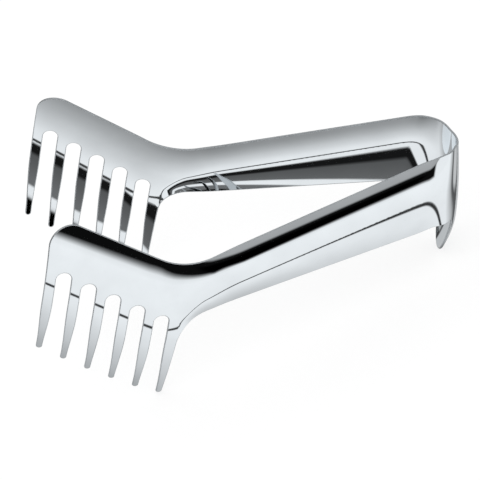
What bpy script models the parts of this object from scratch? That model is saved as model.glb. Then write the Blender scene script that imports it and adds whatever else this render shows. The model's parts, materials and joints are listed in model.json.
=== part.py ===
"""Spaghetti tongs pressed from one strip of stainless sheet, about 21 cm long.

The strip runs from one comb, along an arm that is pressed to a shallow channel, round a springy bow
and back along the other arm to the second comb. It is modelled as three pieces that meet on two bend lines of the bow, since
in use the bow flexes there: spring_bow (the back with its tongue-shaped foot), left_arm and
right_arm. Up is +Z, the bow is at +X, the combs are at -X, and the arms open along Y. The tongs
stand on the lowest tooth of each comb and on the tongue.

Every piece is drawn on the unrolled strip as a flat outline of points (along, level): along is
measured on the strip seen from above, starting at the middle of the back, and level is measured
along the bow's own upright axis. The outline is then wrapped onto the curved surface of the strip.
"""

import math

import bmesh
import bpy
import numpy as np
from mathutils import Matrix, Vector
from mathutils.geometry import delaunay_2d_cdt

MM = 0.001

# Sheet
SHEET = 1.0 * MM
GAP = 0.3 * MM

# Plan of the strip, seen along the bow's axis
BOW_RADIUS = 17.5 * MM
ARM_SPLAY = math.radians(13.3)
COMB_SPLAY = math.radians(2.4)
ELBOW_AT = 139.5 * MM
ELBOW_HALF_LENGTH = 12.0 * MM
BEND_LINE = math.radians(49.0)

# Upper edge of the strip
BACK_TOP = 33.8 * MM
SHOULDER_TOP = 34.8 * MM
SHOULDER_LENGTH = 24.0 * MM
KNEE_PAST_BOW = 7.4 * MM
KNEE_RADIUS = 40.0 * MM
ARM_TOP_FALL = math.radians(24.2)
COMB_TOP_PAST_ELBOW = 5.5 * MM
ELBOW_TOP_RADIUS = 30.0 * MM
COMB_TOP_RISE = math.radians(25.0)
CORNER_RADIUS = 9.6 * MM

# Lower edge of the strip
BACK_BOTTOM = -5.1 * MM
ARM_BOTTOM = -4.1 * MM
ARM_BOTTOM_FALL = math.radians(18.2)
ELBOW_BOTTOM_RADIUS = 18.0 * MM

# Tongue under the back, the rear foot
TONGUE_BOTTOM = -30.2 * MM
TONGUE_HALF_WIDTH = 11.7 * MM
TONGUE_END_HEIGHT = 13.8 * MM
TONGUE_ROOT_RADIUS = 2.2 * MM

# Comb; the last tooth is the one by the arm, and the first is at the free end
TEETH = 6
TOOTH_PITCH = 12.0 * MM
LAST_TOOTH_PAST_ELBOW = 9.1 * MM
TOOTH_WIDTH = 5.0 * MM
TIP_WIDTH = 2.9 * MM
TAPER_FROM = 0.35
TOOTH_LENGTH = 52.1 * MM
TIP_LINE_RISE = math.radians(24.9)
TIP_LINE_SAG = 0.24 * MM
LAST_SLOT_ABOVE_ARM = 6.4 * MM
SLOT_LINE_RISE = math.radians(26.9)
THROAT = 1.2 * MM

# Cross-section of the strip: how far it bulges outward from its plan line. The curves run on past
# the edges, up to PAST_EDGE times the distance from the crest to the edge.
PAST_EDGE = 1.3
ARM_CREST_DROP = 19.4 * MM
ARM_CREST_OUT = 2.85 * MM
ARM_TOP_INWARD = 4.9 * MM
ARM_BOTTOM_INWARD = 1.55 * MM
COMB_CREST_BELOW_SLOT = 11.0 * MM
COMB_CREST_OUT = 7.5 * MM
COMB_TOP_INWARD = 6.8 * MM
COMB_TIP_INWARD = 5.3 * MM
BACK_CREST = -10.0 * MM
BACK_CREST_OUT = -0.4 * MM
BACK_TOP_INWARD = 7.3 * MM
BACK_TOP_CURL = 1.4
BACK_TONGUE_INWARD = 3.9 * MM

# How deep the two standing teeth and the tongue are ground flat, and the steepest that they lean
FOOT_FLAT = 0.25 * MM
MOST_LEAN = math.radians(60.0)

# Size of the mesh cells on the strip, and the bend at which an edge is shaded as a sharp one
CELL = 3.4 * MM
CELL_TO_EDGE = 0.42 * CELL
EDGE_STEP = 2.6 * MM
SHORTEST_EDGE = 0.05 * MM
TONGUE_END_STEPS = 10
TOOTH_END_STEPS = 6
SLOT_END_STEPS = 8
SHARP_EDGE = math.radians(40.0)


def ease(start, end, x):
    """0 before start, 1 after end and a smooth S between them."""
    t = np.clip((np.asarray(x, float) - start) / (end - start), 0.0, 1.0)
    return t * t * (3.0 - 2.0 * t)


# Plan line: bow arc, straight arm, elbow arc, straight comb
ARM_HEADING = math.pi / 2 - ARM_SPLAY
ARM_START = BOW_RADIUS * ARM_HEADING
ELBOW_START = ELBOW_AT - ELBOW_HALF_LENGTH
ELBOW_END = ELBOW_AT + ELBOW_HALF_LENGTH
ELBOW_TURN = ARM_SPLAY - COMB_SPLAY
SPLIT_AT = BOW_RADIUS * BEND_LINE
KNEE_AT = ARM_START + KNEE_PAST_BOW
ELBOW_TOP_AT = ELBOW_AT + COMB_TOP_PAST_ELBOW
LAST_TOOTH_AT = ELBOW_AT + LAST_TOOTH_PAST_ELBOW
FIRST_TOOTH_AT = LAST_TOOTH_AT + (TEETH - 1) * TOOTH_PITCH
COMB_END = FIRST_TOOTH_AT + TOOTH_WIDTH / 2

# Stretches along the strip over which one form turns into the next
BACK_FADE = (10 * MM, ARM_START + 10 * MM)
ARM_BOTTOM_FADE = (ARM_START - 4 * MM, ARM_START + 6 * MM)
SECTION_FADE = (ELBOW_START - 9 * MM, LAST_TOOTH_AT + 15 * MM)
CREST_FADE = (LAST_TOOTH_AT - 14 * MM, LAST_TOOTH_AT + 12 * MM)
LIP_FADE = (LAST_TOOTH_AT - 10.6 * MM, LAST_TOOTH_AT + 7.4 * MM)


def plan(along):
    """(x, y, heading) of the right-hand half of the plan line. The outward side of the strip is
    (cos heading, sin heading) and the strip runs on toward (-sin heading, cos heading)."""
    if along <= ARM_START:
        heading = along / BOW_RADIUS
        return BOW_RADIUS * math.cos(heading), BOW_RADIUS * math.sin(heading), heading
    x, y, heading = plan(ARM_START)
    straight = min(along, ELBOW_START) - ARM_START
    x -= straight * math.sin(heading)
    y += straight * math.cos(heading)
    if along <= ELBOW_START:
        return x, y, heading
    bend_radius = (ELBOW_END - ELBOW_START) / ELBOW_TURN
    turned = (min(along, ELBOW_END) - ELBOW_START) / bend_radius
    x += bend_radius * (math.cos(heading + turned) - math.cos(heading))
    y += bend_radius * (math.sin(heading + turned) - math.sin(heading))
    heading += turned
    rest = max(along - ELBOW_END, 0.0)
    return x - rest * math.sin(heading), y + rest * math.cos(heading), heading


def rounded(points, radii, step):
    """The open line through points, with each inner corner rounded to its radius."""
    points = [Vector(p) for p in points]
    line = [points[0]]
    for before, corner, after, radius in zip(points, points[1:], points[2:], radii):
        back = (before - corner).normalized()
        on = (after - corner).normalized()
        half = back.angle(on) / 2
        centre = corner + (back + on).normalized() * (radius / math.sin(half))
        first = corner + back * (radius / math.tan(half)) - centre
        sweep = math.pi - 2 * half
        if back.x * on.y - back.y * on.x > 0:
            sweep = -sweep
        count = max(3, math.ceil(radius * abs(sweep) / step))
        for i in range(count + 1):
            line.append(centre + Matrix.Rotation(sweep * i / count, 2) @ first)
    line.append(points[-1])
    return line


def spaced(line, step):
    """The same line with points added so that none of its stretches is longer than step."""
    out = [line[0]]
    for a, b in zip(line, line[1:]):
        count = max(1, math.ceil((b - a).length / step))
        out.extend(a.lerp(b, i / count) for i in range(1, count + 1))
    return out


# Upper edge line, before the corner of the comb is rounded
ELBOW_TOP = SHOULDER_TOP - (ELBOW_TOP_AT - KNEE_AT) * math.tan(ARM_TOP_FALL)
COMB_TOP_END = ELBOW_TOP + (COMB_END - ELBOW_TOP_AT) * math.tan(COMB_TOP_RISE)
TOP_LINE = rounded(
    [
        (-SHOULDER_LENGTH, SHOULDER_TOP),
        (KNEE_AT, SHOULDER_TOP),
        (ELBOW_TOP_AT, ELBOW_TOP),
        (COMB_END, COMB_TOP_END),
    ],
    [KNEE_RADIUS, ELBOW_TOP_RADIUS],
    EDGE_STEP / 2,
)

# The comb's rounded corner, from the upper edge to the free end
CORNER_REACH = 2.5 * CORNER_RADIUS
CORNER_FROM = COMB_END - CORNER_REACH
CORNER = rounded(
    [
        (CORNER_FROM, COMB_TOP_END - CORNER_REACH * math.tan(COMB_TOP_RISE)),
        (COMB_END, COMB_TOP_END),
        (COMB_END, COMB_TOP_END - CORNER_REACH),
    ],
    [CORNER_RADIUS],
    EDGE_STEP,
)


def level_on(line, along):
    return np.interp(along, [p.x for p in line], [p.y for p in line])


def top_edge(along):
    """Level of the upper edge, before the corner of the comb is rounded."""
    dip = (SHOULDER_TOP - BACK_TOP) * (1.0 - ease(0.0, SHOULDER_LENGTH, along))
    return level_on(TOP_LINE, along) - dip


def arm_bottom(along):
    slope = ARM_BOTTOM - (along - ARM_START) * math.tan(ARM_BOTTOM_FALL)
    return BACK_BOTTOM + (slope - BACK_BOTTOM) * ease(*ARM_BOTTOM_FADE, along)


LAST_SLOT_TOP = arm_bottom(LAST_TOOTH_AT) + LAST_SLOT_ABOVE_ARM
LAST_TIP = LAST_SLOT_TOP - TOOTH_LENGTH

# Lower edge of the arm and the round throat that leads it down the side of the last tooth
THROAT_AT = LAST_TOOTH_AT - TOOTH_WIDTH / 2 - THROAT
THROAT_REACH = 2.2 * ELBOW_BOTTOM_RADIUS
ON_ARM_AT = THROAT_AT - THROAT_REACH
THROAT_LINE = rounded(
    [
        (ON_ARM_AT, arm_bottom(ON_ARM_AT)),
        (THROAT_AT, arm_bottom(THROAT_AT)),
        (LAST_TOOTH_AT - TIP_WIDTH / 2, LAST_TIP + TIP_WIDTH / 2),
    ],
    [ELBOW_BOTTOM_RADIUS],
    EDGE_STEP,
)


def lower_edge(along):
    return np.where(along < ON_ARM_AT, arm_bottom(along), level_on(THROAT_LINE, along))


def tip_level(along):
    """Level of the line on which the tooth tips end."""
    past = along - LAST_TOOTH_AT
    middle = (TEETH - 1) / 2
    sag = TIP_LINE_SAG * ((past / TOOTH_PITCH - middle) ** 2 - middle**2)
    return LAST_TIP + past * math.tan(TIP_LINE_RISE) + sag


def slot_line(along):
    """Level of the line through the round tops of the slots."""
    return LAST_SLOT_TOP + (along - LAST_TOOTH_AT - TOOTH_PITCH / 2) * math.tan(SLOT_LINE_RISE)


def share(part, whole):
    """The part as a share of the whole, held between 0 and PAST_EDGE."""
    return np.clip(part / whole, 0.0, PAST_EDGE)


def back_bulge(along, level):
    """Rounded back of the bow, with the tongue curling inward below it."""
    upper = share(level - BACK_CREST, top_edge(along) - BACK_CREST) ** BACK_TOP_CURL
    lower = share(BACK_CREST - level, BACK_CREST - TONGUE_BOTTOM) ** 2
    return BACK_CREST_OUT - BACK_TOP_INWARD * upper - BACK_TONGUE_INWARD * lower


def upper_bulge(along, level):
    """The strip above its crest: rounded over on the arm, curling gently inward on the comb."""
    top = top_edge(along)
    arm = share(level - top + ARM_CREST_DROP, ARM_CREST_DROP) ** 2
    crest = slot_line(along) - COMB_CREST_BELOW_SLOT
    comb = share(level - crest, top - crest) ** 2
    out = ARM_CREST_OUT - ARM_TOP_INWARD * arm
    return out + (COMB_CREST_OUT - COMB_TOP_INWARD * comb - out) * ease(*SECTION_FADE, along)


def lower_inward(along, level):
    """How far the strip turns inward below its crest, on the arm's lower lip and on the teeth."""
    crest = top_edge(along) - ARM_CREST_DROP
    crest += (slot_line(along) - COMB_CREST_BELOW_SLOT - crest) * ease(*CREST_FADE, along)
    on_arm = ARM_BOTTOM_INWARD * share(crest - level, crest - lower_edge(along)) ** 2
    on_tooth = COMB_TIP_INWARD * share(crest - level, crest - tip_level(along)) ** 2
    tooth = ease(*LIP_FADE, along + np.maximum(arm_bottom(along) - level, 0.0))
    return on_arm + (on_tooth - on_arm) * tooth


def bulge(along, level):
    """Distance of the strip outward from its plan line."""
    out = upper_bulge(along, level) - lower_inward(along, level)
    return out + (back_bulge(along, level) - out) * (1.0 - ease(*BACK_FADE, along))


def on_strip(along, level, side):
    """Point of the middle of the sheet in the bow's upright frame. side is 1 for the right half of
    the strip (toward +Y) and -1 for its mirror image; on the back along may be negative."""
    x, y, heading = plan(abs(along))
    out = bulge(abs(along), level)
    y = (y + out * math.sin(heading)) * (side if along >= 0 else -side)
    return np.array((x + out * math.cos(heading), y, level))


def outward(along, level, side):
    """Unit normal of the strip, pointing away from the space between the arms."""
    d = 0.02 * MM
    run = on_strip(along + d, level, side) - on_strip(along - d, level, side)
    rise = on_strip(along, level + d, side) - on_strip(along, level - d, side)
    normal = np.cross(run, rise) * side
    return normal / np.linalg.norm(normal)


# Flat outlines


def tooth_side(at, side, root, tip):
    """One side of a tooth from its root level to where its round end starts."""
    line = []
    count = max(4, math.ceil((root - tip) / EDGE_STEP))
    for i in range(count + 1):
        t = i / count
        half = (TOOTH_WIDTH + (TIP_WIDTH - TOOTH_WIDTH) * ease(TAPER_FROM, 1.0, t)) / 2
        line.append(Vector((at + side * half, root + (tip - root) * t)))
    return line


def half_round(centre, radius, start, end, count):
    """Inner points of a half circle, from angle start to angle end."""
    angles = [start + (end - start) * i / count for i in range(1, count)]
    return [centre + radius * Vector((math.cos(a), math.sin(a))) for a in angles]


def comb_outline():
    """From the corner of the comb down the free edge, round every tooth and slot, to the lower
    edge of the arm."""
    slot_radius = (TOOTH_PITCH - TOOTH_WIDTH) / 2
    slots = [FIRST_TOOTH_AT - (i + 0.5) * TOOTH_PITCH for i in range(TEETH - 1)]
    roots = [slot_line(at) - slot_radius for at in slots]
    line = []
    for i in range(TEETH):
        at = FIRST_TOOTH_AT - i * TOOTH_PITCH
        end = tip_level(at) + TIP_WIDTH / 2
        line += tooth_side(at, 1, roots[max(i - 1, 0)], end)
        line += half_round(Vector((at, end)), TIP_WIDTH / 2, 0.0, -math.pi, TOOTH_END_STEPS)
        if i < TEETH - 1:
            line += reversed(tooth_side(at, -1, roots[i], end))
            line += half_round(Vector((slots[i], roots[i])), slot_radius, 0.0, math.pi, SLOT_END_STEPS)
        else:
            line += reversed(THROAT_LINE)
    return line


def arm_outline():
    start = SPLIT_AT + GAP / 2
    count = math.ceil((CORNER_FROM - start) / EDGE_STEP)
    steps = [start + (CORNER_FROM - start) * i / count for i in range(count)]
    top = [Vector((a, top_edge(a))) for a in steps]
    comb = comb_outline()
    low = comb[-1].x
    count = math.ceil((low - start) / EDGE_STEP)
    steps = [low + (start - low) * i / count for i in range(1, count + 1)]
    bottom = [Vector((a, arm_bottom(a))) for a in steps]
    return top + CORNER[:-1] + comb + bottom


def bow_outline():
    end = SPLIT_AT - GAP / 2
    count = math.ceil(end / EDGE_STEP)
    top = [Vector((end * i / count, top_edge(end * i / count))) for i in range(count + 1)]
    round_from = TONGUE_BOTTOM + TONGUE_END_HEIGHT
    tongue = rounded(
        [
            (end, BACK_BOTTOM),
            (TONGUE_HALF_WIDTH, BACK_BOTTOM),
            (TONGUE_HALF_WIDTH, round_from),
        ],
        [TONGUE_ROOT_RADIUS],
        EDGE_STEP / 2,
    )
    for i in range(1, TONGUE_END_STEPS + 1):
        angle = math.pi / 2 * i / TONGUE_END_STEPS
        dip = TONGUE_END_HEIGHT * math.sin(angle)
        tongue.append(Vector((TONGUE_HALF_WIDTH * math.cos(angle), round_from - dip)))
    half = top + tongue
    mirrored = [Vector((-p.x, p.y)) for p in reversed(half[1:-1])]
    return half + mirrored


def mesh_cells(outline):
    """Triangles that fill a flat outline: (points, faces)."""
    ring = [outline[0]]
    for point in spaced(outline + outline[:1], EDGE_STEP):
        if (point - ring[-1]).length > SHORTEST_EDGE:
            ring.append(point)
    if (ring[-1] - ring[0]).length < SHORTEST_EDGE:
        ring.pop()
    edge = np.array(ring)
    after = np.roll(edge, -1, axis=0)
    low, high = edge.min(axis=0), edge.max(axis=0)
    columns = max(2, math.ceil((high[0] - low[0]) / CELL))
    rows = max(2, math.ceil((high[1] - low[1]) / CELL))
    inner = []
    for x in np.linspace(low[0], high[0], columns + 1):
        for y in np.linspace(low[1], high[1], rows + 1):
            crosses = (edge[:, 1] > y) != (after[:, 1] > y)
            rise = np.where(crosses, after[:, 1] - edge[:, 1], 1.0)
            at = edge[:, 0] + (y - edge[:, 1]) / rise * (after[:, 0] - edge[:, 0])
            if np.count_nonzero(crosses & (at > x)) % 2 == 0:
                continue
            here = np.array((x, y))
            run = after - edge
            t = np.clip(((here - edge) * run).sum(1) / (run * run).sum(1), 0.0, 1.0)
            if np.hypot(*(here - edge - run * t[:, None]).T).min() > CELL_TO_EDGE:
                inner.append(here)
    points = [Vector(p / MM) for p in np.vstack([edge, np.array(inner).reshape(-1, 2)])]
    border = [(i, (i + 1) % len(edge)) for i in range(len(edge))]
    found = delaunay_2d_cdt(points, border, [], 1, 1e-6)
    return [p * MM for p in found[0]], found[2]


def strip_piece(outline, side):
    """(points, faces) of the sheet over a flat outline, in the bow's upright frame."""
    flat, cells = mesh_cells(outline)
    middle = np.array([on_strip(p.x, p.y, side) for p in flat])
    half = np.array([outward(p.x, p.y, side) for p in flat]) * SHEET / 2
    count = len(flat)
    edges = {}
    for cell in cells:
        for a, b in zip(cell, cell[1:] + cell[:1]):
            edges[a, b] = edges.get((a, b), 0) + 1
    faces = [list(cell) for cell in cells]
    faces += [[i + count for i in reversed(cell)] for cell in cells]
    faces += [[b, a, a + count, b + count] for a, b in edges if (b, a) not in edges]
    return np.vstack([middle + half, middle - half]), faces


def turned(points, angle):
    """Points turned about Y so that +X drops by angle."""
    c, s = math.cos(angle), math.sin(angle)
    x, y, z = points.T
    return np.stack([x * c + z * s, y, z * c - x * s], axis=1)


def standing_angle(arm, bow):
    """Turn about Y that brings the lowest tooth and the tongue down to one level."""
    low, high = 0.0, MOST_LEAN
    for _ in range(50):
        middle = (low + high) / 2
        if turned(arm, middle)[:, 2].min() < turned(bow, middle)[:, 2].min():
            low = middle
        else:
            high = middle
    return (low + high) / 2


def steel(name, shade):
    material = bpy.data.materials.new(name)
    material.use_nodes = True
    shader = material.node_tree.nodes["Principled BSDF"]
    shader.inputs["Base Color"].default_value = (shade, shade, shade * 1.01, 1.0)
    shader.inputs["Metallic"].default_value = 1.0
    shader.inputs["Roughness"].default_value = 0.12
    return material


def add_piece(name, points, faces, origin, shade):
    """One closed piece, with its flat foot cut at Z = 0 when it reaches that low."""
    mesh = bpy.data.meshes.new(name)
    mesh.from_pydata((points - origin).tolist(), [], faces)
    shape = bmesh.new()
    shape.from_mesh(mesh)
    ground = Vector((0.0, 0.0, -origin[2]))
    everything = shape.verts[:] + shape.edges[:] + shape.faces[:]
    cut = bmesh.ops.bisect_plane(
        shape, geom=everything, plane_co=ground, plane_no=Vector((0, 0, -1)), clear_outer=True
    )
    rim = [e for e in cut["geom_cut"] if isinstance(e, bmesh.types.BMEdge)]
    bmesh.ops.holes_fill(shape, edges=rim)
    bmesh.ops.triangulate(shape, faces=[f for f in shape.faces if len(f.verts) > 4])
    bmesh.ops.recalc_face_normals(shape, faces=shape.faces)
    for face in shape.faces:
        face.smooth = True
    for edge in shape.edges:
        edge.smooth = edge.calc_face_angle(0.0) < SHARP_EDGE
    shape.to_mesh(mesh)
    shape.free()
    piece = bpy.data.objects.new(name, mesh)
    piece.location = origin
    mesh.materials.append(steel(name + "_steel", shade))
    bpy.context.scene.collection.objects.link(piece)
    return piece


def hinge_point(side):
    """Point on the bend line between the bow and one arm, on the inner side of its upper edge."""
    x, y, heading = plan(SPLIT_AT)
    inner = bulge(SPLIT_AT, top_edge(SPLIT_AT)) - SHEET
    return np.array((x + inner * math.cos(heading), side * (y + inner * math.sin(heading)), 0.0))


for old in list(bpy.data.objects):
    bpy.data.objects.remove(old, do_unlink=True)

bow_points, bow_faces = strip_piece(bow_outline(), 1)
arm_points, arm_faces = strip_piece(arm_outline(), 1)
left_points, left_faces = strip_piece(arm_outline(), -1)

STAND = standing_angle(arm_points, bow_points)
pieces = [turned(p, STAND) for p in (bow_points, arm_points, left_points)]
everything = np.vstack(pieces)
low, high = everything.min(axis=0), everything.max(axis=0)
shift = np.array((-(low[0] + high[0]) / 2, 0.0, -low[2] - FOOT_FLAT))
bow_points, arm_points, left_points = (p + shift for p in pieces)
pivots = {side: turned(hinge_point(side)[None], STAND)[0] + shift for side in (1, -1)}

add_piece("spring_bow", bow_points, bow_faces, np.zeros(3), 0.72)
add_piece("right_arm", arm_points, arm_faces, pivots[1], 0.76)
add_piece("left_arm", left_points, left_faces, pivots[-1], 0.76)

axis = turned(np.array([[0.0, 0.0, 1.0]]), STAND)[0]
print("standing angle", round(math.degrees(STAND), 3), "axis", axis.round(6).tolist())
for side, name in ((1, "right"), (-1, "left")):
    print(name, "pivot mm", (pivots[side] / MM).round(4).tolist())
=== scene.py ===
"""Looks of the spaghetti tongs: one strip of polished stainless sheet, bent into a bow.

The CAD model shows the strip as three faceted solids that meet on two bend lines. Here the same
strip is drawn once, finely, with rounded edges, and is cut into three pieces whose seams don't
show: the back of the bow with its tongue, and the two arms.
"""

import json
import math
import bpy
import numpy as np
from mathutils import Matrix, Vector
from mathutils.geometry import delaunay_2d_cdt


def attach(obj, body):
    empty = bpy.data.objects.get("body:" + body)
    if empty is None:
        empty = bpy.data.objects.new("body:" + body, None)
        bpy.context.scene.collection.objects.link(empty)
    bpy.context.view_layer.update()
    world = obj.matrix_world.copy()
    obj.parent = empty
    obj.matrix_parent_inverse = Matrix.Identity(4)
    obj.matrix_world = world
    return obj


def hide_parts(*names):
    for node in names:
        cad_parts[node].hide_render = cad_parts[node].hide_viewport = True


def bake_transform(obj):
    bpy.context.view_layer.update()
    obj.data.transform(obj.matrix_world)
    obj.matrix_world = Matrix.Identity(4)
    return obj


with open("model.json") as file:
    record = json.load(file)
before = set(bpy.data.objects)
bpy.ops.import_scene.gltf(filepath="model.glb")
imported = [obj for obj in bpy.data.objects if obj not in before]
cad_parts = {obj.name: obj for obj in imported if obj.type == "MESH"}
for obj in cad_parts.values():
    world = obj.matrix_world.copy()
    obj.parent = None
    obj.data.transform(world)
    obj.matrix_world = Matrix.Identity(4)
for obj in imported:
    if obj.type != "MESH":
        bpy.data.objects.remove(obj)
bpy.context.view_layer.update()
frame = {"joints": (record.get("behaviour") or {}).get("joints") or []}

MM = 0.001

# Sheet
SHEET = 1.0 * MM
RIM_RADIUS = 0.42 * MM

# Plan of the strip, seen along the bow's axis
BOW_RADIUS = 17.5 * MM
ARM_SPLAY = math.radians(13.3)
COMB_SPLAY = math.radians(2.4)
ELBOW_AT = 139.5 * MM
ELBOW_HALF_LENGTH = 12.0 * MM
BEND_LINE = math.radians(49.0)

# Upper edge of the strip
BACK_TOP = 33.8 * MM
SHOULDER_TOP = 34.8 * MM
SHOULDER_LENGTH = 24.0 * MM
KNEE_PAST_BOW = 7.4 * MM
KNEE_RADIUS = 40.0 * MM
ARM_TOP_FALL = math.radians(24.2)
COMB_TOP_PAST_ELBOW = 5.5 * MM
ELBOW_TOP_RADIUS = 30.0 * MM
COMB_TOP_RISE = math.radians(25.0)
CORNER_RADIUS = 9.6 * MM
CORNER_REACH = 2.5 * CORNER_RADIUS

# Lower edge of the strip
BACK_BOTTOM = -5.1 * MM
ARM_BOTTOM = -4.1 * MM
ARM_BOTTOM_FALL = math.radians(18.2)
ELBOW_BOTTOM_RADIUS = 18.0 * MM
THROAT_REACH = 2.2 * ELBOW_BOTTOM_RADIUS

# Tongue under the back, the rear foot
TONGUE_BOTTOM = -30.2 * MM
TONGUE_HALF_WIDTH = 11.7 * MM
TONGUE_END_HEIGHT = 13.8 * MM
TONGUE_ROOT_RADIUS = 2.2 * MM

# Comb; the last tooth is the one by the arm, and the first is at the free end
TEETH = 6
TOOTH_PITCH = 12.0 * MM
LAST_TOOTH_PAST_ELBOW = 9.1 * MM
TOOTH_WIDTH = 5.0 * MM
TIP_WIDTH = 2.9 * MM
TAPER_FROM = 0.35
TOOTH_LENGTH = 52.1 * MM
TIP_LINE_RISE = math.radians(24.9)
TIP_LINE_SAG = 0.24 * MM
LAST_SLOT_ABOVE_ARM = 6.4 * MM
SLOT_LINE_RISE = math.radians(26.9)
THROAT = 1.2 * MM

# Cross-section of the strip: how far it bulges outward from its plan line. The curves run on past
# the edges, up to PAST_EDGE times the distance from the crest to the edge.
PAST_EDGE = 1.3
ARM_CREST_DROP = 19.4 * MM
ARM_CREST_OUT = 2.85 * MM
ARM_TOP_INWARD = 4.9 * MM
ARM_BOTTOM_INWARD = 1.55 * MM
COMB_CREST_BELOW_SLOT = 11.0 * MM
COMB_CREST_OUT = 7.5 * MM
COMB_TOP_INWARD = 6.8 * MM
COMB_TIP_INWARD = 5.3 * MM
BACK_CREST = -10.0 * MM
BACK_CREST_OUT = -0.4 * MM
BACK_TOP_INWARD = 7.3 * MM
BACK_TOP_CURL = 1.4
BACK_TONGUE_INWARD = 3.9 * MM

# Where the back's piece ends, and a station further along the arms
SEAM_AT = 14.4 * MM
BEND_END = 30.0 * MM

# Mesh: its cells, what they keep clear of, and the stretches of its outlines
CELL = 1.4 * MM
ROW_GAP = 0.87 * CELL
CLEAR_OF_EDGE = 0.55 * CELL
CLEAR_OF_SEAM = 0.45 * CELL
EDGE_STEP = 1.0 * MM
ROUND_STEP = 0.6 * EDGE_STEP
TOP_LINE_STEP = 0.2 * MM
TONGUE_END_STEP = 0.06  # radians
SHORTEST_EDGE = 0.1 * MM
SAME_PLACE = 0.01 * MM
RIM_STEPS = 4


def ease(start, end, x):
    """0 before start, 1 after end and a smooth S between them."""
    t = np.clip((np.asarray(x, float) - start) / (end - start), 0.0, 1.0)
    return t * t * (3.0 - 2.0 * t)


# Stations along the strip
ARM_HEADING = math.pi / 2 - ARM_SPLAY
ARM_START = BOW_RADIUS * ARM_HEADING
ELBOW_START = ELBOW_AT - ELBOW_HALF_LENGTH
ELBOW_END = ELBOW_AT + ELBOW_HALF_LENGTH
ELBOW_TURN = ARM_SPLAY - COMB_SPLAY
KNEE_AT = ARM_START + KNEE_PAST_BOW
ELBOW_TOP_AT = ELBOW_AT + COMB_TOP_PAST_ELBOW
LAST_TOOTH_AT = ELBOW_AT + LAST_TOOTH_PAST_ELBOW
FIRST_TOOTH_AT = LAST_TOOTH_AT + (TEETH - 1) * TOOTH_PITCH
COMB_END = FIRST_TOOTH_AT + TOOTH_WIDTH / 2

# Stretches along the strip over which one form turns into the next
BACK_FADE = (10 * MM, ARM_START + 10 * MM)
ARM_BOTTOM_FADE = (ARM_START - 4 * MM, ARM_START + 6 * MM)
SECTION_FADE = (ELBOW_START - 9 * MM, LAST_TOOTH_AT + 15 * MM)
CREST_FADE = (LAST_TOOTH_AT - 14 * MM, LAST_TOOTH_AT + 12 * MM)
LIP_FADE = (LAST_TOOTH_AT - 10.6 * MM, LAST_TOOTH_AT + 7.4 * MM)


def plan(along):
    """(x, y, heading) of the plan line: bow arc, straight arm, elbow arc, straight comb."""
    along = np.asarray(along, float)
    heading = np.minimum(along, ARM_START) / BOW_RADIUS
    x = BOW_RADIUS * np.cos(heading)
    y = BOW_RADIUS * np.sin(heading)
    straight = np.clip(along, ARM_START, ELBOW_START) - ARM_START
    x -= straight * math.sin(ARM_HEADING)
    y += straight * math.cos(ARM_HEADING)
    bend_radius = (ELBOW_END - ELBOW_START) / ELBOW_TURN
    turned_by = (np.clip(along, ELBOW_START, ELBOW_END) - ELBOW_START) / bend_radius
    x += bend_radius * (np.cos(ARM_HEADING + turned_by) - math.cos(ARM_HEADING))
    y += bend_radius * (np.sin(ARM_HEADING + turned_by) - math.sin(ARM_HEADING))
    heading = heading + turned_by
    rest = np.maximum(along - ELBOW_END, 0.0)
    return x - rest * np.sin(heading), y + rest * np.cos(heading), heading


def rounded(points, radii, step):
    """The open line through points, with each inner corner rounded to its radius."""
    points = [Vector(p) for p in points]
    line = [points[0]]
    for before, corner, after, radius in zip(points, points[1:], points[2:], radii):
        back = (before - corner).normalized()
        on = (after - corner).normalized()
        half = back.angle(on) / 2
        centre = corner + (back + on).normalized() * (radius / math.sin(half))
        first = corner + back * (radius / math.tan(half)) - centre
        sweep = math.pi - 2 * half
        if back.x * on.y - back.y * on.x > 0:
            sweep = -sweep
        count = max(3, math.ceil(radius * abs(sweep) / step))
        for i in range(count + 1):
            line.append(centre + Matrix.Rotation(sweep * i / count, 2) @ first)
    line.append(points[-1])
    return line


def spaced(line, step):
    """The same line with points added so that none of its stretches is longer than step."""
    out = [line[0]]
    for a, b in zip(line, line[1:]):
        count = max(1, math.ceil((b - a).length / step))
        out.extend(a.lerp(b, i / count) for i in range(1, count + 1))
    return out


# Upper edge line, before the corner of the comb is rounded
ELBOW_TOP = SHOULDER_TOP - (ELBOW_TOP_AT - KNEE_AT) * math.tan(ARM_TOP_FALL)
COMB_TOP_END = ELBOW_TOP + (COMB_END - ELBOW_TOP_AT) * math.tan(COMB_TOP_RISE)
TOP_LINE = rounded(
    [
        (-SHOULDER_LENGTH, SHOULDER_TOP),
        (KNEE_AT, SHOULDER_TOP),
        (ELBOW_TOP_AT, ELBOW_TOP),
        (COMB_END, COMB_TOP_END),
    ],
    [KNEE_RADIUS, ELBOW_TOP_RADIUS],
    TOP_LINE_STEP,
)

# The comb's rounded corner, from the upper edge to the free end
CORNER_FROM = COMB_END - CORNER_REACH
CORNER = rounded(
    [
        (CORNER_FROM, COMB_TOP_END - CORNER_REACH * math.tan(COMB_TOP_RISE)),
        (COMB_END, COMB_TOP_END),
        (COMB_END, COMB_TOP_END - CORNER_REACH),
    ],
    [CORNER_RADIUS],
    EDGE_STEP,
)


def level_on(line, along):
    """Level of a line at a distance along the strip."""
    return np.interp(along, [p.x for p in line], [p.y for p in line])


def top_edge(along):
    """Level of the upper edge, before the corner of the comb is rounded."""
    dip = (SHOULDER_TOP - BACK_TOP) * (1.0 - ease(0.0, SHOULDER_LENGTH, along))
    return level_on(TOP_LINE, along) - dip


def arm_bottom(along):
    """Level of the lower edge of the back and the arm, run straight on past the elbow."""
    slope = ARM_BOTTOM - (along - ARM_START) * math.tan(ARM_BOTTOM_FALL)
    return BACK_BOTTOM + (slope - BACK_BOTTOM) * ease(*ARM_BOTTOM_FADE, along)


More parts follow.
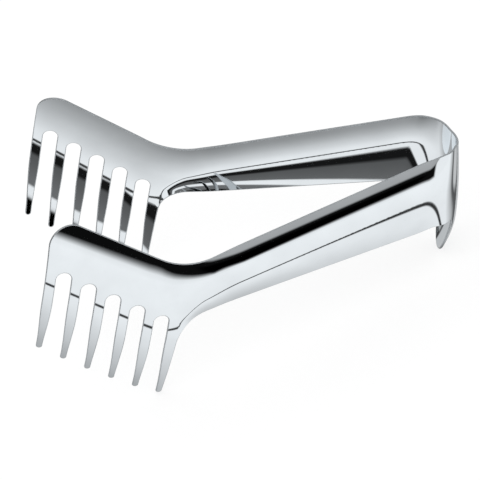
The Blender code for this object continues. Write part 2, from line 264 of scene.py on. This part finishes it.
LAST_SLOT_TOP = arm_bottom(LAST_TOOTH_AT) + LAST_SLOT_ABOVE_ARM
LAST_TIP = LAST_SLOT_TOP - TOOTH_LENGTH

# Lower edge of the arm and the round throat that leads it down the side of the last tooth
THROAT_AT = LAST_TOOTH_AT - TOOTH_WIDTH / 2 - THROAT
ON_ARM_AT = THROAT_AT - THROAT_REACH
THROAT_LINE = rounded(
    [
        (ON_ARM_AT, arm_bottom(ON_ARM_AT)),
        (THROAT_AT, arm_bottom(THROAT_AT)),
        (LAST_TOOTH_AT - TIP_WIDTH / 2, LAST_TIP + TIP_WIDTH / 2),
    ],
    [ELBOW_BOTTOM_RADIUS],
    EDGE_STEP,
)


def lower_edge(along):
    """Level of the lower edge, down the throat at the elbow."""
    return np.where(along < ON_ARM_AT, arm_bottom(along), level_on(THROAT_LINE, along))


def tip_level(along):
    """Level of the line on which the tooth tips end."""
    past = along - LAST_TOOTH_AT
    middle = (TEETH - 1) / 2
    sag = TIP_LINE_SAG * ((past / TOOTH_PITCH - middle) ** 2 - middle**2)
    return LAST_TIP + past * math.tan(TIP_LINE_RISE) + sag


def slot_line(along):
    """Level of the line through the round tops of the slots."""
    return LAST_SLOT_TOP + (along - LAST_TOOTH_AT - TOOTH_PITCH / 2) * math.tan(SLOT_LINE_RISE)


def share(part, whole):
    """The part as a share of the whole, held between 0 and PAST_EDGE."""
    return np.clip(part / whole, 0.0, PAST_EDGE)


def back_bulge(along, level):
    """Rounded back of the bow, with the tongue curling inward below it."""
    upper = share(level - BACK_CREST, top_edge(along) - BACK_CREST) ** BACK_TOP_CURL
    lower = share(BACK_CREST - level, BACK_CREST - TONGUE_BOTTOM) ** 2
    return BACK_CREST_OUT - BACK_TOP_INWARD * upper - BACK_TONGUE_INWARD * lower


def upper_bulge(along, level):
    """The strip above its crest: rounded over on the arm, curling gently inward on the comb."""
    top = top_edge(along)
    arm = share(level - top + ARM_CREST_DROP, ARM_CREST_DROP) ** 2
    crest = slot_line(along) - COMB_CREST_BELOW_SLOT
    comb = share(level - crest, top - crest) ** 2
    out = ARM_CREST_OUT - ARM_TOP_INWARD * arm
    return out + (COMB_CREST_OUT - COMB_TOP_INWARD * comb - out) * ease(*SECTION_FADE, along)


def lower_inward(along, level):
    """How far the strip turns inward below its crest, on the arm's lower lip and on the teeth."""
    crest = top_edge(along) - ARM_CREST_DROP
    crest += (slot_line(along) - COMB_CREST_BELOW_SLOT - crest) * ease(*CREST_FADE, along)
    on_arm = ARM_BOTTOM_INWARD * share(crest - level, crest - lower_edge(along)) ** 2
    on_tooth = COMB_TIP_INWARD * share(crest - level, crest - tip_level(along)) ** 2
    tooth = ease(*LIP_FADE, along + np.maximum(arm_bottom(along) - level, 0.0))
    return on_arm + (on_tooth - on_arm) * tooth


def bulge(along, level):
    """Distance of the strip outward from its plan line."""
    out = upper_bulge(along, level) - lower_inward(along, level)
    return out + (back_bulge(along, level) - out) * (1.0 - ease(*BACK_FADE, along))


def on_strip(along, level):
    """Points of the middle of the sheet in the bow's upright frame. Negative distances along the
    strip are its left half, the mirror image of the right one."""
    side = np.where(along >= 0, 1.0, -1.0)
    x, y, heading = plan(np.abs(along))
    out = bulge(np.abs(along), level)
    return np.stack([x + out * np.cos(heading), side * (y + out * np.sin(heading)), level], axis=-1)


def outward(along, level):
    """Unit normals of the strip, pointing away from the space between the arms."""
    nudge = 0.02 * MM
    run = on_strip(along + nudge, level) - on_strip(along - nudge, level)
    rise = on_strip(along, level + nudge) - on_strip(along, level - nudge)
    return unit(np.cross(run, rise))


def unit(vectors):
    """The vectors, each brought to length 1."""
    return vectors / np.linalg.norm(vectors, axis=-1, keepdims=True)


def hinge_point():
    """Where the right bend line meets the upper edge, a sheet's thickness inward of the strip's
    middle and brought to level 0."""
    along = BOW_RADIUS * BEND_LINE
    x, y, heading = plan(along)
    inner = bulge(along, top_edge(along)) - SHEET
    return np.array([x + inner * np.cos(heading), y + inner * np.sin(heading), 0.0])


# Place of the strip in the row frame, taken from a packed joint
RIGHT_JOINT = next(joint for joint in frame["joints"] if joint["name"] == "right_arm_squeeze")
STAND = math.asin(RIGHT_JOINT["axis"][0])
TURN = np.array(Matrix.Rotation(STAND, 3, "Y"))
SHIFT = np.array(RIGHT_JOINT["pos_m"]) - TURN @ hinge_point()


def in_row_frame(points):
    """Points of the bow's upright frame, in the row frame."""
    return points @ TURN.T + SHIFT


# Flat outline


def tooth_side(at, side, root, tip):
    """One side of a tooth from its root level to where its round end starts."""
    line = []
    count = max(4, math.ceil((root - tip) / EDGE_STEP))
    for i in range(count + 1):
        t = i / count
        half = (TOOTH_WIDTH + (TIP_WIDTH - TOOTH_WIDTH) * ease(TAPER_FROM, 1.0, t)) / 2
        line.append(Vector((at + side * half, root + (tip - root) * t)))
    return line


def half_round(centre, radius, start, end):
    """Inner points of a half circle, from angle start to angle end."""
    count = math.ceil(radius * abs(end - start) / ROUND_STEP)
    angles = [start + (end - start) * i / count for i in range(1, count)]
    return [centre + radius * Vector((math.cos(a), math.sin(a))) for a in angles]


def comb_outline():
    """From the corner of the comb down the free edge, round every tooth and slot, to the lower
    edge of the arm."""
    slot_radius = (TOOTH_PITCH - TOOTH_WIDTH) / 2
    slots = [FIRST_TOOTH_AT - (i + 0.5) * TOOTH_PITCH for i in range(TEETH - 1)]
    roots = [slot_line(at) - slot_radius for at in slots]
    line = []
    for i in range(TEETH):
        at = FIRST_TOOTH_AT - i * TOOTH_PITCH
        end = tip_level(at) + TIP_WIDTH / 2
        line += tooth_side(at, 1, roots[max(i - 1, 0)], end)
        line += half_round(Vector((at, end)), TIP_WIDTH / 2, 0.0, -math.pi)
        if i < TEETH - 1:
            line += reversed(tooth_side(at, -1, roots[i], end))
            line += half_round(Vector((slots[i], roots[i])), slot_radius, 0.0, math.pi)
        else:
            line += reversed(THROAT_LINE)
    return line


def stations(start, end, step=EDGE_STEP):
    """Even stations from start to end, no further apart than step."""
    count = max(1, math.ceil(abs(end - start) / step))
    return np.linspace(start, end, count + 1)


def strip_outline():
    """Closed outline of the whole flat strip, starting at the middle of the back's upper edge."""
    top_at = [*stations(0.0, SEAM_AT), *stations(SEAM_AT, CORNER_FROM)[1:]]
    half = [Vector((a, top_edge(a))) for a in top_at]
    half += CORNER[1:-1]
    half += comb_outline()
    half += [Vector((a, arm_bottom(a))) for a in stations(half[-1].x, SEAM_AT)[1:]]
    round_from = TONGUE_BOTTOM + TONGUE_END_HEIGHT
    half += rounded(
        [
            (SEAM_AT, BACK_BOTTOM),
            (TONGUE_HALF_WIDTH, BACK_BOTTOM),
            (TONGUE_HALF_WIDTH, round_from),
        ],
        [TONGUE_ROOT_RADIUS],
        ROUND_STEP,
    )[1:]
    for angle in stations(0.0, math.pi / 2, TONGUE_END_STEP)[1:]:
        dip = TONGUE_END_HEIGHT * math.sin(angle)
        half.append(Vector((TONGUE_HALF_WIDTH * math.cos(angle), round_from - dip)))
    ring = [half[0]]
    for point in spaced(half, EDGE_STEP):
        if (point - ring[-1]).length > SHORTEST_EDGE:
            ring.append(point)
    right = np.array(ring)
    left = right[-2:0:-1] * (-1.0, 1.0)
    return np.vstack([right, left])


def inset(ring, by):
    """The closed ring moved inward; it runs clockwise."""
    run = unit(np.roll(ring, -1, axis=0) - ring)
    inward = np.stack([run[:, 1], -run[:, 0]], axis=1)
    both = inward + np.roll(inward, 1, axis=0)
    return ring + by * 2.0 * both / (both * both).sum(axis=1, keepdims=True)


def inner_points(ring):
    """Points on a staggered grid inside the ring, mirrored on the back's middle line."""
    after = np.roll(ring, -1, axis=0)
    run = after - ring
    columns = math.ceil(COMB_END / CELL)
    lowest, highest = ring[:, 1].min(), ring[:, 1].max()
    rows = math.ceil((highest - lowest) / ROW_GAP)
    found = []
    for j, level in enumerate(np.linspace(lowest, highest, rows)):
        along = (np.arange(columns + 1) + 0.5 * (j % 2)) * COMB_END / columns
        crosses = (ring[:, 1] > level) != (after[:, 1] > level)
        at = ring[crosses, 0] + (level - ring[crosses, 1]) / run[crosses, 1] * run[crosses, 0]
        along = along[(at[None] > along[:, None]).sum(axis=1) % 2 == 1]
        near = np.abs(ring[:, 1] - level) < 3 * CELL
        for a in along:
            here = np.array((a, level))
            t = np.clip(((here - ring[near]) * run[near]).sum(1) / (run[near] ** 2).sum(1), 0, 1)
            gap = np.linalg.norm(here - ring[near] - run[near] * t[:, None], axis=1)
            if gap.min(initial=1.0) > CLEAR_OF_EDGE and abs(a - SEAM_AT) > CLEAR_OF_SEAM:
                found.append(here)
                if a > SHORTEST_EDGE:
                    found.append(here * (-1.0, 1.0))
    return np.array(found)


def piece_at(along):
    """0 on the back, 1 on the right arm and -1 on the left one, for a face's corners."""
    middle = np.mean(along)
    return int(np.sign(middle)) * (abs(middle) > SEAM_AT)


def strip_mesh():
    """(points, normals, faces, piece of each face, caps, number of points on a side) of the whole
    strip, in the bow's upright frame. The points run over the outer side, the inner side and the
    rounded rim. A cap closes a piece at a seam; it is (side of the seam, its faces)."""
    ring = strip_outline()
    rim = inset(ring, RIM_RADIUS)
    count = len(ring)
    seams = []
    links = [(i, (i + 1) % count) for i in range(count)]
    flat = [rim, inner_points(rim)]
    used = len(flat[0]) + len(flat[1])
    for sign in (1, -1):
        ends = np.flatnonzero(np.abs(ring[:, 0] - sign * SEAM_AT) < SAME_PLACE)
        ends = ends[np.argsort(-ring[ends, 1])][[0, -1]]
        top, bottom = rim[ends[0]], rim[ends[1]]
        steps = math.ceil((top[1] - bottom[1]) / CELL)
        between = [top + (bottom - top) * i / steps for i in range(1, steps)]
        chain = [int(ends[0]), *range(used, used + len(between)), int(ends[1])]
        used += len(between)
        flat.append(np.array(between))
        links += zip(chain, chain[1:])
        seams.append((sign, chain))
    flat = np.vstack(flat)
    total = len(flat)
    inside_only, closest = 1, 1e-6
    result = delaunay_2d_cdt([Vector(p / MM) for p in flat], links, [], inside_only, closest)
    assert len(result[0]) == total, "points of the flat strip fell together"
    cells = np.array(result[2])

    middle = on_strip(flat[:, 0], flat[:, 1])
    normal = outward(flat[:, 0], flat[:, 1])
    points = [middle + normal * SHEET / 2, middle - normal * SHEET / 2]
    normals = [normal, -normal]
    faces = [list(c) for c in cells] + [[i + total for i in reversed(c)] for c in cells]
    sides = [piece_at(flat[c, 0]) for c in cells] * 2

    # The rim, round from the outer side to the inner one; e points out of the sheet's edge
    n = normal[:count]
    e = on_strip(ring[:, 0], ring[:, 1]) - middle[:count]
    e = unit(e - n * (e * n).sum(axis=1, keepdims=True))
    outer_half = [(1.0, i) for i in range(1, RIM_STEPS + 1)]
    inner_half = [(-1.0, i) for i in range(RIM_STEPS, 0, -1)]
    rings = [np.arange(count)]
    start = 2 * total
    for turn, i in outer_half + inner_half:
        phi = math.pi / 2 * i / RIM_STEPS
        lift = turn * (SHEET / 2 - RIM_RADIUS + RIM_RADIUS * math.cos(phi))
        points.append(middle[:count] + e * RIM_RADIUS * math.sin(phi) + n * lift)
        normals.append(n * turn * math.cos(phi) + e * math.sin(phi))
        rings.append(np.arange(start, start + count))
        start += count
    rings.append(np.arange(total, total + count))
    for a, b in zip(rings, rings[1:]):
        for i in range(count):
            j = (i + 1) % count
            faces.append([int(a[i]), int(a[j]), int(b[j]), int(b[i])])
            sides.append(piece_at(ring[[i, j], 0]))

    caps = []
    for sign, chain in seams:
        cap = [[a, a + total, b + total, b] for a, b in zip(chain, chain[1:])]
        top, bottom = ([int(r[end]) for r in rings] for end in (chain[0], chain[-1]))
        caps.append((sign, [*cap, bottom[::-1], top]))
    return np.vstack(points), np.vstack(normals), faces, np.array(sides), caps, total


def make_piece(name, keep, caps_for, mesh_data):
    """One of the strip's three pieces, with its shading normals and its closing caps."""
    points, normals, faces, sides, caps, total = mesh_data
    kept = [faces[i] for i in np.flatnonzero(sides == keep)]
    for sign, cap in caps:
        if sign in caps_for:
            flip = (keep == 0) == (sign > 0)
            kept += [face[::-1] for face in cap] if flip else cap
    used = sorted({i for face in kept for i in face})
    new = {old: i for i, old in enumerate(used)}
    mesh = bpy.data.meshes.new(name)
    placed = in_row_frame(points[used])
    # The tongue and the lowest teeth end flat where they stand
    placed[:, 2] = np.maximum(placed[:, 2], 0.0)
    mesh.from_pydata(placed.tolist(), [], [[new[i] for i in face] for face in kept])
    for polygon in mesh.polygons:
        polygon.use_smooth = True
    mesh.normals_split_custom_set_from_vertices((normals[used] @ TURN.T).tolist())
    mesh.materials.append(steel)
    # Rim faces get the second steel, whose darker colour is painted shade
    mesh.materials.append(shaded_edge_steel)
    for polygon, face in zip(mesh.polygons, kept):
        on_rim = max(face) >= 2 * total
        polygon.material_index = int(on_rim)
    piece = bpy.data.objects.new(name, mesh)
    bpy.context.scene.collection.objects.link(piece)
    return piece


# Material

# Stainless steel reflects a little less red than blue
STEEL_TINT = (0.95, 1.0, 1.035)

# Faint clouds in the colour and fine wiping marks in the roughness: scale and detail of the noise
CLOUDS = (60.0, 3.0)
CLOUD_STOPS = (0.3, 0.7)
MARKS = (900.0, 4.0)

# Lowest and highest shade and roughness of the sheet's sides and of its deburred edge. The edge's
# higher roughness is real; its darker shade is painted shade, a grey line drawn along the rim
SHEET_SHADES = (0.87, 0.93)
SHEET_ROUGHNESS = (0.015, 0.045)
EDGE_PAINTED_SHADES = (0.62, 0.74)
EDGE_ROUGHNESS = (0.4, 0.55)


def node(tree, kind, **settings):
    """A new node of the tree."""
    made = tree.nodes.new(kind)
    for key, value in settings.items():
        setattr(made, key, value)
    return made


def noise(tree, where, scale, detail):
    """Noise over the coordinates where."""
    made = node(tree, "ShaderNodeTexNoise")
    made.inputs["Scale"].default_value = scale
    made.inputs["Detail"].default_value = detail
    tree.links.new(where, made.inputs["Vector"])
    return made.outputs["Fac"]


def steel_material(name, shades, roughness):
    """Cool stainless steel with very faint clouds and fine wiping marks."""
    material = bpy.data.materials.new(name)
    material.use_nodes = True
    tree = material.node_tree
    shader = tree.nodes["Principled BSDF"]
    shader.inputs["Metallic"].default_value = 1.0
    where = node(tree, "ShaderNodeTexCoord").outputs["Object"]
    colour = node(tree, "ShaderNodeValToRGB")
    for element, position, shade in zip(colour.color_ramp.elements, CLOUD_STOPS, shades):
        element.position = position
        element.color = (*(shade * tint for tint in STEEL_TINT), 1.0)
    rough = node(tree, "ShaderNodeMapRange")
    rough.inputs["To Min"].default_value = roughness[0]
    rough.inputs["To Max"].default_value = roughness[1]
    tree.links.new(noise(tree, where, *CLOUDS), colour.inputs["Fac"])
    tree.links.new(noise(tree, where, *MARKS), rough.inputs["Value"])
    tree.links.new(colour.outputs["Color"], shader.inputs["Base Color"])
    tree.links.new(rough.outputs["Result"], shader.inputs["Roughness"])
    return material


steel = steel_material("polished_steel", SHEET_SHADES, SHEET_ROUGHNESS)
# The rim's steel: rougher, as a ground edge is, and darker by painted shade that draws a grey line
# along the rim
shaded_edge_steel = steel_material("deburred_edge_painted_shade", EDGE_PAINTED_SHADES, EDGE_ROUGHNESS)
strip = strip_mesh()

back = make_piece("bow_back_and_tongue", 0, (1, -1), strip)
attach(back, "bow")
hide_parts("spring_bow")

for name, side in (("right", 1), ("left", -1)):
    arm = make_piece(name + "_arm_and_comb", side, (side,), strip)
    reach = in_row_frame(on_strip(np.array([SEAM_AT, BEND_END]) * side, np.zeros(2)))
    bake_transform(arm)
    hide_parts(name + "_arm")


# Studio

# Floor: its side, its paint, the share of it that the camera sees as plain white, and how bright
# that white is
FLOOR_SIZE = 3.0
FLOOR_WHITE = 0.95
FLOOR_ROUGHNESS = 0.9
CAMERA_SEES_WHITE = 0.65
PLAIN_WHITE = 1.08

# Brightness of the studio as a mirror sees it, by elevation in degrees above the plane that the
# bow's axis stands on. To the rear the other bands take over, by the share of a direction that
# points toward +Y.
FRONT_BANDS = [
    (-90, 0.20),
    (-80, 0.30),
    (-71, 0.41),
    (-65, 0.50),
    (-59.5, 0.60),
    (-54.5, 0.68),
    (-50.5, 0.75),
    (-47, 0.82),
    (-43, 0.88),
    (-38.3, 0.91),
    (-38.1, 0.02),
    (-37.0, 0.02),
    (-36.8, 0.90),
    (-20, 0.93),
    (-12, 0.95),
    (-9, 0.88),
    (-6.5, 0.22),
    (-5, 0.004),
    (4.3, 0.004),
    (6.5, 0.39),
    (20, 0.46),
    (60, 0.65),
]
REAR_BANDS = [
    (-90, 0.30),
    (-80, 0.34),
    (-65, 0.42),
    (-45, 0.55),
    (-7, 0.55),
    (-5, 0.004),
    (4.3, 0.004),
    (6.5, 0.39),
    (20, 0.46),
    (60, 0.65),
]
REAR_FADE = (0.38, 0.5)

# The dark post between the front wall and the rear one, by degrees toward +Y
POST_BANDS = [
    (-90, 1.0),
    (3, 1.0),
    (11.5, 0.76),
    (20, 0.5),
    (25.5, 0.16),
    (28.5, 0.16),
    (32.5, 1.0),
]

# The dark stand in front of the far comb: its table top, by elevation above a plane that is tilted
# a little more, and the white card that stands on it, by elevation. Both fade out toward the bow's
# side, at a leaning edge.
STAND_BANDS = [
    (-90, 1.0),
    (-35.6, 1.0),
    (-35.2, 0.01),
    (-31.5, 0.01),
    (-30, 0.11),
    (-26, 0.13),
    (-20, 0.17),
    (-14.5, 0.17),
    (-13.5, 0.0),
    (4, 0.0),
    (6, 1.0),
]
STAND_TILT = 0.18
CARD_BANDS = [
    (-90, 0.0),
    (-19.9, 0.0),
    (-19.4, 0.8),
    (-15.8, 0.8),
    (-14.8, 0.0),
]
STAND_LEAN = -0.5
STAND_FADE = (0.46, 0.40)

# The white end wall past the bow, which hides the dark room there: by degrees toward the bow's
# side, and how much of it shows, by elevation
END_WALL_BANDS = [
    (-90, 0.0),
    (44.5, 0.0),
    (50.5, 0.92),
]
END_WALL_REACH = [
    (-90, 0.0),
    (-30, 0.0),
    (-25, 1.0),
    (4.3, 1.0),
    (6.5, 0.0),
]


def bands(tree, height, stops):
    """Grey of the stops over a height, which is -1 straight down and 1 straight up."""
    place = node(tree, "ShaderNodeMapRange")
    place.inputs["From Min"].default_value = -1.0
    ramp = node(tree, "ShaderNodeValToRGB")
    elements = ramp.color_ramp.elements
    elements.remove(elements[0])
    for i, (degrees, grey) in enumerate(stops):
        at = (math.sin(math.radians(degrees)) + 1) / 2
        element = elements[0] if i == 0 else elements.new(at)
        element.position = at
        element.color = (grey, grey, grey, 1.0)
    tree.links.new(height, place.inputs["Value"])
    tree.links.new(place.outputs["Result"], ramp.inputs["Fac"])
    return ramp.outputs["Color"]


def smooth_step(tree, value, start, end):
    """0 before start, 1 after end and a smooth S between them."""
    made = node(tree, "ShaderNodeMapRange", interpolation_type="SMOOTHSTEP")
    made.inputs["From Min"].default_value = start
    made.inputs["From Max"].default_value = end
    tree.links.new(value, made.inputs["Value"])
    return made.outputs["Result"]


def mixed(tree, a, b, factor=1.0, blend="MIX"):
    """Colour b mixed into colour a by the factor. Each of them is an output or a plain value."""
    made = node(tree, "ShaderNodeMix", data_type="RGBA", blend_type=blend)
    for name, value in (("Factor", factor), ("A", a), ("B", b)):
        if isinstance(value, bpy.types.NodeSocket):
            tree.links.new(value, made.inputs[name])
        else:
            made.inputs[name].default_value = value
    return made.outputs["Result"]


def studio_world():
    """Even white light for the floor and the background. Mirrors see the studio: a white table
    with a dark slit in front of a white wall, a dark room above it and a light grey ceiling panel.
    To the rear, toward +Y and past a dark post, the table and the wall are grey."""
    world = bpy.data.worlds.new("studio")
    bpy.context.scene.world = world
    world.use_nodes = True
    tree = world.node_tree
    direction = node(tree, "ShaderNodeTexCoord").outputs["Generated"]
    split = node(tree, "ShaderNodeSeparateXYZ")
    tree.links.new(direction, split.inputs["Vector"])
    to_rear = split.outputs["Y"]

    def along(axis):
        """Height of the direction along an axis, -1 to 1."""
        made = node(tree, "ShaderNodeVectorMath", operation="DOT_PRODUCT")
        made.inputs[1].default_value = axis.tolist()
        tree.links.new(direction, made.inputs[0])
        return made.outputs["Value"]

    up, right = TURN[:, 2], TURN[:, 0]
    end_wall = bands(tree, along(right), END_WALL_BANDS)
    end_wall = mixed(tree, end_wall, bands(tree, along(up), END_WALL_REACH), blend="MULTIPLY")
    front = mixed(tree, bands(tree, along(up), FRONT_BANDS), end_wall, blend="LIGHTEN")
    stand = bands(tree, along(up + STAND_TILT * right), STAND_BANDS)
    stand = mixed(tree, stand, bands(tree, along(up), CARD_BANDS), blend="ADD")
    stand_shows = smooth_step(tree, along(right + STAND_LEAN * up), *STAND_FADE)
    front = mixed(tree, front, stand, stand_shows, "MULTIPLY")
    rear_shows = smooth_step(tree, to_rear, *REAR_FADE)
    studio = mixed(tree, front, bands(tree, along(up), REAR_BANDS), rear_shows)
    studio = mixed(tree, studio, bands(tree, to_rear, POST_BANDS), blend="MULTIPLY")
    is_mirror = node(tree, "ShaderNodeLightPath").outputs["Is Glossy Ray"]
    seen = mixed(tree, (1.0, 1.0, 1.0, 1.0), studio, is_mirror)
    tree.links.new(seen, tree.nodes["Background"].inputs["Color"])


def pale_floor():
    """A wide white table top. The camera sees it mostly as plain white, with the object's shadow
    faint on it, and mirrors see the studio instead."""
    mesh = bpy.data.meshes.new("floor")
    h = FLOOR_SIZE / 2
    mesh.from_pydata([(-h, -h, 0), (h, -h, 0), (h, h, 0), (-h, h, 0)], [], [(0, 1, 2, 3)])
    floor = bpy.data.objects.new("floor", mesh)
    bpy.context.scene.collection.objects.link(floor)
    material = bpy.data.materials.new("floor")
    material.use_nodes = True
    tree = material.node_tree
    shader = tree.nodes["Principled BSDF"]
    shader.inputs["Base Color"].default_value = (FLOOR_WHITE, FLOOR_WHITE, FLOOR_WHITE, 1.0)
    shader.inputs["Roughness"].default_value = FLOOR_ROUGHNESS
    shader.inputs["Specular IOR Level"].default_value = 0.0
    white = node(tree, "ShaderNodeEmission")
    white.inputs["Strength"].default_value = PLAIN_WHITE
    clear = node(tree, "ShaderNodeBsdfTransparent")
    rays = node(tree, "ShaderNodeLightPath")
    seen = node(tree, "ShaderNodeMath", operation="MULTIPLY")
    seen.inputs[1].default_value = CAMERA_SEES_WHITE
    for_camera = node(tree, "ShaderNodeMixShader")
    for_mirrors = node(tree, "ShaderNodeMixShader")
    tree.links.new(rays.outputs["Is Camera Ray"], seen.inputs[0])
    tree.links.new(seen.outputs["Value"], for_camera.inputs["Fac"])
    tree.links.new(shader.outputs["BSDF"], for_camera.inputs[1])
    tree.links.new(white.outputs["Emission"], for_camera.inputs[2])
    tree.links.new(rays.outputs["Is Glossy Ray"], for_mirrors.inputs["Fac"])
    tree.links.new(for_camera.outputs["Shader"], for_mirrors.inputs[1])
    tree.links.new(clear.outputs["BSDF"], for_mirrors.inputs[2])
    tree.links.new(for_mirrors.outputs["Shader"], tree.nodes["Material Output"].inputs["Surface"])
    mesh.materials.append(material)


# Camera: the point it looks at, its direction, how far the picture is turned, and its lens in mm
CAMERA_TARGET = (-0.00662, 0.00353, 0.03486)
CAMERA_AZIMUTH = math.radians(-6.9)
CAMERA_ELEVATION = math.radians(39.33)
CAMERA_ROLL = math.radians(20.635)
CAMERA_DISTANCE = 1.3104
FOCAL_LENGTH = 206.6
SENSOR_WIDTH = 36.0


def photo_camera():
    """The photograph's view: from the left arm's side, 39 degrees above the floor, with the picture
    turned so that the teeth hang almost straight down."""
    reach = math.cos(CAMERA_ELEVATION)
    forward = Vector(
        (
            math.sin(CAMERA_AZIMUTH) * reach,
            math.cos(CAMERA_AZIMUTH) * reach,
            -math.sin(CAMERA_ELEVATION),
        )
    )
    data = bpy.data.cameras.new("photo_camera")
    data.sensor_width = SENSOR_WIDTH
    data.lens = FOCAL_LENGTH
    camera = bpy.data.objects.new("photo_camera", data)
    bpy.context.scene.collection.objects.link(camera)
    place = Matrix.Translation(Vector(CAMERA_TARGET) - forward * CAMERA_DISTANCE)
    level = forward.to_track_quat("-Z", "Y").to_matrix()
    camera.matrix_world = place @ (Matrix.Rotation(CAMERA_ROLL, 3, forward) @ level).to_4x4()
    bpy.context.scene.camera = camera


studio_world()
pale_floor()
photo_camera()
bpy.context.scene.view_settings.view_transform = "Standard"
